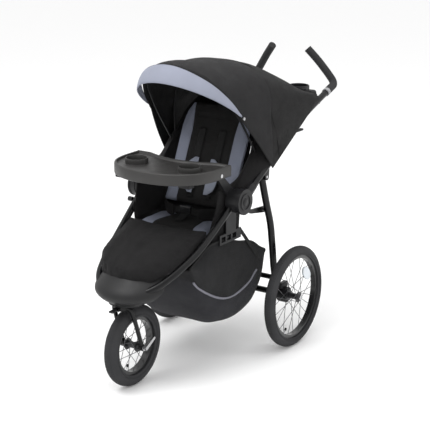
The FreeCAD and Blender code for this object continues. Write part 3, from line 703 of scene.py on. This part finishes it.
@dataclass
class Visor:
    """The flip-up visor: a band of light cloth with a dark piped edge."""

    pivot: Vector = Vector((0, -0.080, 0.940))
    half: float = 0.2078
    squareness: float = 1.95
    crown: float = 0.005
    # angle, foot radius, shoulder radius, top radius
    stations: tuple = ((147.0, 0.014, 0.026, 0.264), (139.6, 0.014, 0.028, 0.268),
                       (132.0, 0.014, 0.030, 0.272))

    def place(self, u: float, v: float) -> Vector:
        """Point of the visor: u from its lower edge to its upper, v from near to far."""
        angle, foot, shoulder, top = smooth_rows(self.stations, u)
        across, up = rounded(math.pi * v, self.squareness)
        side = NEAR if v < 0.5 else FAR
        radius = shoulder + (top - shoulder) * up
        ends = min(1.0, 24 * min(v, 1 - v))
        radius = foot + (radius - foot) * ends + self.crown * math.sin(math.pi * u) * ends
        a = math.radians(angle)
        x = self.half * across * side
        return self.pivot + Vector((x, radius * math.cos(a), radius * math.sin(a)))

    def build(self, shop: Workshop) -> None:
        """Make the band, its upper piping and its lower hem."""
        bm = sheet_mesh(self.place, 10, 110)
        crumple(bm, 0.0012, Vector((12, 12, 12)))
        band = shop.piece("visor_band", bm, "visor_fabric", "visor", "visor_fabric", ["visor"],
                          thick=0.0030)
        steps = [0.02 + 0.96 * i / 110 for i in range(111)]
        shop.tube("visor_upper_piping", [self.place(1, v) for v in steps], 0.0019, "webbing",
                  "visor", "webbing")
        shop.tube("visor_lower_hem", [self.place(0, v) for v in steps], 0.0019, "visor_fabric",
                  "visor", "visor_fabric")


# --------------------------------------------------------------------- seat
@dataclass
class Seat:
    """Cushion, reclining back, side walls, footwell cover and harness."""

    half: float = 0.163
    front: float = -0.250
    rear: float = -0.086
    recline: Vector = Vector((0, -0.066, 0.560))
    back_top: Vector = Vector((0, 0.105, 0.944))
    strap_x: float = 0.046

    def back(self, x: float, share: float, out: float) -> Vector:
        """Point on the seat back: share up it, out in front of the board."""
        along = self.back_top - self.recline
        up = along.normalized()
        ahead = Vector((0, -up.z, up.y))
        return self.recline + along * share + ahead * out + Vector((x, 0, 0))

    def cushion(self, shop: Workshop) -> None:
        """Seat cushion with a black centre between light front corners."""
        def corner(a: float, b: float, c: float) -> Vector:
            swell = 1 - 0.25 * abs(a) ** 4
            y = self.front + 0.003 + (self.rear - self.front - 0.007) * (b + 1) / 2
            drop = 0.006 * max(0.0, -b) ** 3 if c > 0 else 0.0
            return Vector((a * (self.half - 0.005), y, 0.5265 + 0.0155 * c * swell - drop))
        obj = Pad("seat_cushion_padded", corner, cap=0.007).make()
        press(obj, lambda p: 0.003 * channel(abs(p.x) - self.centre_edge(p), 0.006))
        set_panel(obj, lambda p: self.centre_edge(p) - abs(p.x))
        shop.dress(obj, "seat_cloth", "chassis", "shell_fabric", ["seat_cushion"], levels=1)

    def centre_edge(self, p: Vector) -> float:
        """Half width of the black centre of the cushion, narrower towards the rear."""
        return 0.093 - 0.16 * (p.y - self.front)

    def back_edge(self, p: Vector) -> float:
        """Half width of the black centre of the back, closed in a curve at the top."""
        share = (p.z - self.recline.z) / (self.back_top.z - self.recline.z)
        return 0.097 + 0.10 * max(0.0, share - 0.72) ** 1.5

    def back_pad(self, shop: Workshop) -> None:
        """Padded seat back with quilted channels, and its cover behind the board."""
        def corner(a: float, b: float, c: float) -> Vector:
            share = 0.03 + 0.955 * (b + 1) / 2
            round_top = 1 - 0.22 * max(0.0, b - 0.5) ** 2 * 4
            out = 0.0105 + 0.009 * c * (1 - 0.3 * abs(a) ** 4)
            return self.back(a * (self.half - 0.006) * round_top, share, out)
        obj = Pad("seat_back_padded", corner, cap=0.006).make()
        press(obj, lambda p: 0.003 * channel(abs(p.x) - self.back_edge(p), 0.006))
        press(obj, lambda p: 0.002 * channel((p.z - 0.60) % 0.085 - 0.0425, 0.007)
              if abs(p.x) < 0.09 else 0.0)
        set_panel(obj, lambda p: max(self.back_edge(p) - abs(p.x), abs(p.x) - 0.152))
        shop.dress(obj, "seat_cloth", "seat_back", "shell_fabric", ["seat_back_pad"], levels=1)

        def cover(u: float, v: float) -> Vector:
            a, share = 2 * u - 1, 0.98 * v
            belly = 0.010 * (1 - a ** 4) * math.sin(math.pi * v)
            return self.back(a * 0.156 * (1 - 0.1 * v ** 6), share, -0.0125 - belly)
        sheet = shop.piece("seat_back_cover", sheet_mesh(cover, 30, 40), "shell_fabric",
                           "seat_back", "shell_fabric", thick=0.0016)

    def side_wall(self, shop: Workshop, name: str, side: int) -> None:
        """Cloth wall from the seat back's edge forward to the tray arm."""
        top_edge = ((0.110, 0.895), (0.068, 0.850), (0.020, 0.800), (-0.022, 0.757),
                    (-0.075, 0.715), (-0.140, 0.697), (-0.205, 0.688))
        low_edge = ((0.098, 0.880), (0.058, 0.784), (0.014, 0.690), (-0.028, 0.600),
                    (-0.072, 0.552), (-0.140, 0.545), (-0.238, 0.545))

        def place(u: float, v: float) -> Vector:
            y0, z0 = smooth_rows(low_edge, u)
            y1, z1 = smooth_rows(top_edge, u)
            x = 0.165 - 0.017 * max(0.0, 1 - 1.6 * u)
            x += (0.182 - x) * v ** 0.6 + 0.003 * math.sin(math.pi * v)
            return Vector((x * side, y0 + (y1 - y0) * v, z0 + (z1 - z0) * v))
        bm = sheet_mesh(place, 26, 22)
        crumple(bm, 0.003, Vector((10, 16, 16)))
        wall = shop.piece(f"seat_side_wall_{name}", bm, "shell_fabric", None, "shell_fabric",
                          thick=0.003)
        self.tie(wall)
        rim = [place(i / 40, 1.0) for i in range(41)]
        piping = shop.tube(f"seat_side_piping_{name}", rim, 0.0022, "webbing", None, "webbing")
        self.tie(piping)

    def tie(self, obj: bpy.types.Object) -> None:
        """Bake the placement of a side piece into its mesh."""
        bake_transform(obj)

    def skirt(self, shop: Workshop, name: str, side: int) -> None:
        """Cloth that closes the side between the seat pan and the basket bracket."""
        def place(u: float, v: float) -> Vector:
            y = -0.236 + 0.180 * u
            low = 0.494 - 0.030 * math.sin(math.pi * u)
            return Vector(((0.1725 + 0.007 * v) * side, y, low + (0.600 - low) * v))
        bm = sheet_mesh(place, 18, 10)
        crumple(bm, 0.002, Vector((10, 18, 18)))
        cloth = shop.piece(f"seat_skirt_{name}", bm, "shell_fabric", "chassis", "shell_fabric",
                           thick=0.002)

    def footwell(self, shop: Workshop) -> None:
        """Padded cover that drapes from the seat's front edge to the nose."""
        halves = ((0.122,), (0.158,), (0.173,), (0.180,), (0.183,), (0.183,))
        rear, length, slope = -0.258, 0.300, 0.4167

        def corner(a: float, b: float, c: float) -> Vector:
            t = (b + 1) / 2
            half = smooth_rows(halves, t)[0] - 0.005
            y = rear - length * (1 - t) * (1 - 0.13 * a * a)
            level = 0.547 + (y - rear) * slope + 0.016 * (1 - t)
            crown = 0.026 * (1 - a ** 4) * math.sin(math.pi * min(1.0, 0.12 + 0.88 * t))
            lift = 0.004 + crown if c > 0 else -0.014 + 0.4 * crown - 0.026 * (1 - t)
            return Vector((a * half, y, level + lift * abs(c)))
        obj = Pad("footwell_cover_padded", corner, cap=0.009, voxel=0.0055).make()
        folds = Vector((26, 5, 5))
        press(obj, lambda p: 0.0035 * noise.noise(p * folds))
        shop.dress(obj, "shell_fabric", "chassis", "shell_fabric", ["footwell_cover"], levels=1)

    def harness(self, shop: Workshop) -> None:
        """Shoulder straps and pads, hip pads, waist and crotch straps."""
        for name, side in SIDES:
            x = self.strap_x * side

            def shoulder(u: float, x: float = x) -> Vector:
                share = 0.74 - 0.64 * u
                return self.back(x * (1 - 0.35 * max(0.0, u - 0.6)), share, 0.0285)
            strap = shop.strap(f"shoulder_strap_{name}", shoulder, ACROSS, 0.030,
                               "webbing", "seat_back", "webbing")
            if side == NEAR:
                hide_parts("shoulder_harness")
            self.strap_pad(shop, name, side)
            self.waist(shop, name, side)

        def crotch(u: float) -> Vector:
            return Vector((0, -0.205 + 0.051 * u, 0.553 + 0.016 * u * u))
        strap = shop.strap("crotch_strap", crotch, ACROSS, 0.030, "webbing",
                           "chassis", "webbing", 12)
        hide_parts("harness_straps")

    def strap_pad(self, shop: Workshop, name: str, side: int) -> None:
        """D-shaped pad on a shoulder strap, straight inside and round outside."""
        def corner(a: float, b: float, c: float) -> Vector:
            share = 0.30 + 0.165 * b
            outer = 0.075 - 0.030 * b ** 4
            x = 0.027 + (outer - 0.027) * (a + 1) / 2
            edge = (1 - 0.5 * abs(a) ** 3) * (1 - 0.5 * abs(b) ** 6)
            return self.back(x * side, share, 0.0375 + 0.0048 * c * edge)
        obj = Pad(f"shoulder_pad_{name}", corner, voxel=0.003, cuts=7).form()
        shop.dress(obj, "strap_pad_cloth", "seat_back", "shell_fabric", levels=1)
        loop = [self.back((0.050 + 0.026 * math.cos(w)) * side, 0.30 + 0.168 * math.sin(w), 0.0375)
                for w in (2 * math.pi * i / 40 for i in range(40))]
        shop.tube(f"shoulder_pad_binding_{name}", loop, 0.0018, "webbing", "seat_back",
                  "webbing", cyclic=True)

    def waist(self, shop: Workshop, name: str, side: int) -> None:
        """Waist strap from the buckle to the side, with a dark hip pad on it."""
        def path(u: float) -> Vector:
            x = 0.025 + 0.132 * u
            return Vector((x * side, -0.150 + 0.085 * u * u,
                           0.581 - 0.012 * math.sin(math.pi * u)))
        shop.strap(f"waist_strap_{name}", path, Vector((0, 0.25, 0.97)), 0.025, "webbing",
                   "chassis", "webbing")

        def corner(a: float, b: float, c: float) -> Vector:
            middle = path(0.50 + 0.26 * a)
            return middle + Vector((0, -0.002 + 0.0055 * c * (1 - 0.5 * b ** 4), 0.023 * b
                                    * (1 - 0.25 * a ** 4)))
        obj = Pad(f"hip_pad_{name}", corner, voxel=0.0035, cuts=7).form()
        shop.dress(obj, "shell_fabric", "chassis", "shell_fabric", levels=1)

    def rear_flap(self, shop: Workshop) -> None:
        """Cloth that closes the gap between the cushion and the seat back."""
        line = ((-0.104, 0.540), (-0.078, 0.550), (-0.062, 0.575), (-0.048, 0.625))

        def place(u: float, v: float) -> Vector:
            y, z = smooth_rows(line, v)
            return Vector((0.168 * (2 * u - 1), y, z))
        flap = shop.piece("seat_rear_flap", sheet_mesh(place, 24, 14), "shell_fabric", "chassis",
                          "shell_fabric", thick=0.0016)

    def gusset(self, shop: Workshop, name: str, side: int) -> None:
        """Cloth from the side wall out over the handle tube to the canopy's lower corner."""
        inner = (Vector((0.178, -0.105, 0.675)), Vector((0.178, 0.150, 0.920)))
        outer = (Vector((0.243, -0.075, 0.655)), Vector((0.243, 0.130, 0.806)))

        def place(u: float, v: float) -> Vector:
            point = inner[0].lerp(inner[1], u).lerp(outer[0].lerp(outer[1], u), v)
            point.z += 0.012 * math.sin(math.pi * v)
            return mirror_x(point, side)
        bm = sheet_mesh(place, 20, 10)
        crumple(bm, 0.003, Vector((12, 16, 16)))
        cloth = shop.piece(f"seat_gusset_{name}", bm, "shell_fabric", "upper_frame",
                           "shell_fabric", thick=0.0016)

    def build(self, shop: Workshop) -> None:
        """Make the whole seat."""
        self.rear_flap(shop)
        self.cushion(shop)
        self.back_pad(shop)
        self.footwell(shop)
        self.harness(shop)
        for name, side in SIDES:
            self.side_wall(shop, name, side)
            self.gusset(shop, name, side)
            self.skirt(shop, name, side)


# ------------------------------------------------------------------- basket
@dataclass
class Basket:
    """The storage basket: a sagging shell hung under the seat."""

    half: float = 0.181
    squareness: float = 5.5
    bulge: float = 0.012
    sag: float = 0.006
    trim: float = 0.0042
    front: float = -0.385
    pocket_rear: float = 0.046
    # heights of the piping arc, evenly spaced from the front to the rear
    arc: tuple = ((0.415,), (0.360,), (0.322,), (0.293,), (0.274,), (0.269,), (0.277,), (0.295,),
                  (0.327,))
    # lower profile (y, z), then the top edge above it (y, z)
    profile: tuple = ((-0.384, 0.440, -0.384, 0.444), (-0.330, 0.330, -0.340, 0.466),
                      (-0.225, 0.196, -0.260, 0.500), (-0.120, 0.152, -0.160, 0.497),
                      (-0.020, 0.148, -0.070, 0.468), (0.070, 0.172, 0.020, 0.445),
                      (0.108, 0.260, 0.085, 0.405), (0.121, 0.370, 0.120, 0.388))

    def place(self, u: float, v: float) -> Vector:
        """Point of the shell: u from the front to the rear, v from near to far."""
        low_y, low_z, top_y, top_z = smooth_rows(self.profile, u)
        t = math.pi * v
        across, up = rounded(t, self.squareness)
        side = NEAR if v < 0.5 else FAR
        height = 1 - up
        full = math.sin(math.pi * height) * math.sin(math.pi * u)
        x = self.half * across + self.bulge * full
        sag = self.sag * (1 - height) * abs(math.sin(t)) * math.sin(math.pi * u)
        return Vector((x * side, low_y + (top_y - low_y) * height,
                       low_z + (top_z - low_z) * height - sag))

    def arc_height(self, y: float) -> float:
        """Height of the piping arc on the side wall."""
        return smooth_rows(self.arc, (y - self.front) / (self.pocket_rear - self.front))[0]

    def pocket(self, point: Vector) -> float:
        """Distance under the piping arc on the side wall, where the cloth is lighter."""
        inside = self.front < point.y < self.pocket_rear
        return self.arc_height(point.y) - point.z if inside else -0.02

    def build(self, shop: Workshop) -> None:
        """Make the shell, its reflective piping, its hems and its hangers."""
        bm = sheet_mesh(self.place, 56, 96)
        crumple(bm, 0.004, Vector((11, 11, 11)))
        shell = shop.piece("basket_shell", bm, "basket_fabric", "chassis", "basket_fabric",
                           ["basket"], thick=0.0024)
        set_panel(shell, self.pocket)
        for name, side in SIDES:
            arc = [self.on_wall(y, side) for y in (-0.355 + 0.400 * i / 60 for i in range(61))]
            shop.tube(f"basket_piping_{name}", arc, self.trim, "reflective_piping",
                      "chassis", "collar_grey")
            hem = [mirror_x(self.place(i / 60, 0.0), side) for i in range(61)]
            shop.tube(f"basket_hem_{name}", hem, self.trim, "webbing", "chassis",
                      "webbing")
            self.hanger(shop, name, side)
        rear = [self.place(1.0, i / 30) for i in range(31)]
        shop.tube("basket_rear_hem", rear, self.trim, "webbing", "chassis", "webbing")

    def on_wall(self, y: float, side: int) -> Vector:
        """Point of the piping arc, set on the outside of the side wall."""
        z = self.arc_height(y)
        u = min((i / 80 for i in range(81)),
                key=lambda s: abs(self.wall_point(s, z).y - y))
        wall = self.wall_point(u, z)
        return Vector(((wall.x + 0.0015) * side, y, z))

    def wall_point(self, u: float, z: float) -> Vector:
        """Point of the near side wall at one height."""
        steps = (self.place(u, 0.22 * i / 24) for i in range(25))
        return min(steps, key=lambda p: abs(p.z - z))

    def hanger(self, shop: Workshop, name: str, side: int) -> None:
        """Webbing strap that ties the basket's rear corner to the frame."""
        def path(u: float) -> Vector:
            y, z = -0.070 + 0.132 * u, 0.520 - 0.146 * u
            return Vector(((0.187 + 0.001 * u) * side, y, z))
        shop.strap(f"basket_hanger_{name}", path, Vector((0, 0.55, 0.83)), 0.016, "webbing",
                   "chassis", "webbing", 10)


# --------------------------------------------------------------------- tray
@dataclass
class Tray:
    """The child's tray: a moulded D with a raised rim and two cup wells."""

    low: float = 0.743
    cup: Vector = Vector((0.118, -0.292, 0.0))
    # inset and height from the ceiling, under the rim and up its outside, down to the floor
    section: tuple = ((0.0100, 0.768), (0.0090, 0.747), (0.0070, 0.7435), (0.0035, 0.7435),
                      (0.0010, 0.7450), (0.0, 0.749), (0.0, 0.779), (0.0015, 0.7835),
                      (0.0050, 0.786), (0.0085, 0.7845), (0.0110, 0.7785), (0.0130, 0.777))
    rear: float = -0.160
    # outline from the near rear corner round the front to the middle (x, y)
    outline: tuple = ((0.209, -0.160), (0.2105, -0.218), (0.207, -0.278), (0.190, -0.332),
                      (0.152, -0.377), (0.100, -0.407), (0.050, -0.420), (0.0, -0.424))
    belly: float = 0.040
    hole: float = 0.0395

    def ring(self) -> list[Vector]:
        """Points of the whole outline, in order."""
        near = [Vector((*smooth_rows(self.outline, i / 24), self.low)) for i in range(25)]
        far = [mirror_x(p, FAR) for p in reversed(near[:-1])]
        waist = [Vector((-0.150 + 0.300 * i / 12,
                         self.rear - self.belly * math.sin(math.pi * i / 12), self.low))
                 for i in range(13)]
        return near + far + waist

    def body_mesh(self) -> bmesh.types.BMesh:
        """Shell with a rounded rim, a sunk floor and two holes for the cups."""
        bm = bmesh.new()
        outline = self.ring()
        inward = []
        for before, after in zip(outline[-1:] + outline[:-1], outline[1:] + outline[:1]):
            along = (after - before).normalized()
            inward.append(Vector((along.y, -along.x, 0)))
        rings = [[bm.verts.new(Vector((p.x, p.y, z)) + way * inset)
                  for p, way in zip(outline, inward)] for inset, z in self.section]
        for lower, upper in zip(rings, rings[1:]):
            self.join(bm, lower, upper)
        holes = []
        for _, side in SIDES:
            pair = []
            for _, z in (self.section[0], self.section[-1]):
                middle = Matrix.Translation(mirror_x(self.cup, side) + Vector((0, 0, z)))
                pair.append(bmesh.ops.create_circle(bm, segments=64, radius=self.hole,
                                                    matrix=middle)["verts"])
            self.join(bm, *pair)
            holes.append(pair)
        for ring, level in ((rings[0], 0), (rings[-1], 1)):
            loops = [ring] + [pair[level] for pair in holes]
            edges = [bm.edges.get(two) for loop in loops for two in zip(loop, loop[1:] + loop[:1])]
            bmesh.ops.triangle_fill(bm, edges=edges, use_beauty=True, normal=(0, 0, 1))
        bmesh.ops.recalc_face_normals(bm, faces=bm.faces)
        return bm

    def join(self, bm: bmesh.types.BMesh, lower: list, upper: list) -> None:
        """Make a band of faces between two closed rows of points."""
        for a, b, c, d in zip(lower, lower[1:] + lower[:1], upper[1:] + upper[:1], upper):
            bm.faces.new((a, b, c, d))

    def build(self, shop: Workshop) -> None:
        """Make the tray body, its cup wells and the catches under its front."""
        shop.piece("tray_body", self.body_mesh(), "tray_plastic", "child_tray", "tray_plastic",
                   ["child_tray"], sharp=35)
        well = [(0.739, 0.0), (0.739, 0.0375), (0.780, 0.0375), (0.7925, 0.0378),
                (0.7955, 0.0388), (0.7960, 0.0402), (0.7955, 0.0416), (0.793, 0.0424),
                (0.786, 0.0428), (0.736, 0.0410), (0.736, 0.0)]
        for name, side in SIDES:
            base = mirror_x(self.cup, side)
            shop.piece(f"tray_cup_{name}", lathe(well, UP, base, 64),
                       "tray_plastic", "child_tray", "tray_plastic")
            self.catch(shop, name, side)

    def catch(self, shop: Workshop, name: str, side: int) -> None:
        """Small catch moulded under the tray near its corner."""
        bm = bmesh.new()
        place = Matrix.Translation((0.140 * side, -0.345, 0.737))
        bmesh.ops.create_cube(bm, size=1.0,
                              matrix=place @ Matrix.Diagonal((0.05, 0.034, 0.014, 1)))
        bmesh.ops.bevel(bm, geom=bm.edges[:], offset=0.003, segments=3, profile=0.5,
                        affect="EDGES", material=-1)
        shop.piece(f"tray_catch_{name}", bm, "black_plastic", "child_tray", "black_plastic")


# --------------------------------------------------------------- small trim
@dataclass
class Trim:
    """Rings, caps and rims on the hard parts."""

    hub: Vector = Vector((0.2520, -0.130, 0.645))
    console_cup: Vector = Vector((0.128, 0.450, 0.0))

    def build(self, shop: Workshop) -> None:
        """Make every trim piece."""
        ring = [(-0.0005, 0.026), (0.0022, 0.0265), (0.0030, 0.0290), (0.0022, 0.0315),
                (-0.0005, 0.032)]
        cap = [(-0.0005, 0.0), (0.0030, 0.0), (0.0026, 0.012), (0.0006, 0.0155),
               (-0.0005, 0.0160)]
        rim = [(0.9690, 0.0378), (0.9735, 0.0382), (0.9745, 0.0402), (0.9735, 0.0422),
               (0.9660, 0.0430), (0.9600, 0.0428), (0.9600, 0.0378)]
        for name, side in SIDES:
            face, way = mirror_x(self.hub, side), Vector((side, 0, 0))
            for part, profile, steps, slot in (("ring", ring, 56, "panel_grey"),
                                               ("cap", cap, 40, "black_plastic")):
                shop.piece(f"hub_{part}_{name}", lathe(profile, way, face, steps),
                           "black_plastic", "upper_frame", slot)
            base = mirror_x(self.console_cup, side)
            shop.piece(f"console_cup_rim_{name}", lathe(rim, UP, base, 56),
                       "lap_plastic", "upper_frame", "lap_plastic")


# -------------------------------------------------------------------- studio
@dataclass
class Studio:
    """Floor, lights and camera."""

    aim: Vector = Vector((0.0, 0.045, 0.5))
    azimuth: float = 33.951
    elevation: float = 16.424
    distance: float = 5.011
    lens: float = 108.2
    sensor: float = 36.0
    shift: float = 0.0077
    floor_size: float = 30.0
    sky: float = 0.95
    # name, azimuth, elevation, distance, size, power
    lamps: tuple = (("key", -20, 55, 4.0, 2.0, 80), ("side", 100, 35, 4.0, 2.0, 22),
                    ("top", 30, 88, 3.5, 2.5, 30))

    def back(self, azimuth: float, elevation: float) -> Vector:
        """Direction from the object to a viewer at these angles in degrees."""
        a, e = math.radians(azimuth), math.radians(elevation)
        return Vector((math.sin(a) * math.cos(e), -math.cos(a) * math.cos(e), math.sin(e)))

    def light(self, name: str, azimuth: float, elevation: float, distance: float, size: float,
              power: float) -> None:
        """Square lamp aimed at the middle of the object."""
        lamp = bpy.data.lights.new(name, "AREA")
        lamp.size = size
        lamp.energy = power
        self.stand(bpy.data.objects.new(name, lamp), azimuth, elevation, distance)

    def stand(self, obj: bpy.types.Object, azimuth: float, elevation: float,
              distance: float) -> None:
        """Link a lamp or camera, at a distance from the aim and turned to it."""
        way = self.back(azimuth, elevation)
        obj.location = self.aim + way * distance
        obj.rotation_euler = (-way).to_track_quat("-Z", "Y").to_euler()
        bpy.context.scene.collection.objects.link(obj)

    def build(self) -> None:
        """Make the floor, the soft light and the camera."""
        bm = bmesh.new()
        bmesh.ops.create_grid(bm, x_segments=1, y_segments=1, size=self.floor_size)
        floor = mesh_object("floor", bm)
        bpy.context.scene.collection.objects.link(floor)
        paint = bpy.data.materials.new("floor_paint")
        paint.use_nodes = True
        inputs = paint.node_tree.nodes["Principled BSDF"].inputs
        inputs["Base Color"].default_value = (1, 1, 1, 1)
        inputs["Roughness"].default_value = 0.9
        floor.data.materials.append(paint)
        world = bpy.data.worlds.new("soft_box")
        world.use_nodes = True
        inputs = world.node_tree.nodes["Background"].inputs
        inputs["Color"].default_value = (1, 1, 1, 1)
        inputs["Strength"].default_value = self.sky
        bpy.context.scene.world = world
        for lamp in self.lamps:
            self.light(*lamp)
        camera = bpy.data.cameras.new("camera")
        camera.lens = self.lens
        camera.sensor_width = self.sensor
        camera.shift_y = self.shift
        obj = bpy.data.objects.new("camera", camera)
        self.stand(obj, self.azimuth, self.elevation, self.distance)
        bpy.context.scene.camera = obj
        bpy.context.scene.view_settings.view_transform = "Standard"


def dress_frame() -> None:
    """Give every CAD node the finish that its slot in the record names."""
    slots = {part["node"]: part["material_slot"] for part in frame["record"]["subparts"]}
    for name, node in frame["nodes"].items():
        node.material_slots[0].material = MATERIALS[slots[name]]


def main() -> None:
    """Build every sub-assembly in order."""
    logging.basicConfig(level=logging.INFO)
    Studio().build()
    dress_frame()
    shop = Workshop()
    Wheel("front", "", "front_wheel", Vector((0, -0.488, 0.152)), 0.125, 0.027, False).build(shop)
    for side, x in (("_left", 0.285), ("_right", -0.285)):
        Wheel("rear", side, "rear_wheel" + side, Vector((x, 0.171, 0.200)), 0.178, 0.022,
              True, 120).build(shop)
    for part in (Canopy(), Visor(), Seat(), Basket(), Tray(), Trim()):
        part.build(shop)
    log.info("%d pieces", shop.count)


if __name__ == "__main__":
    main()
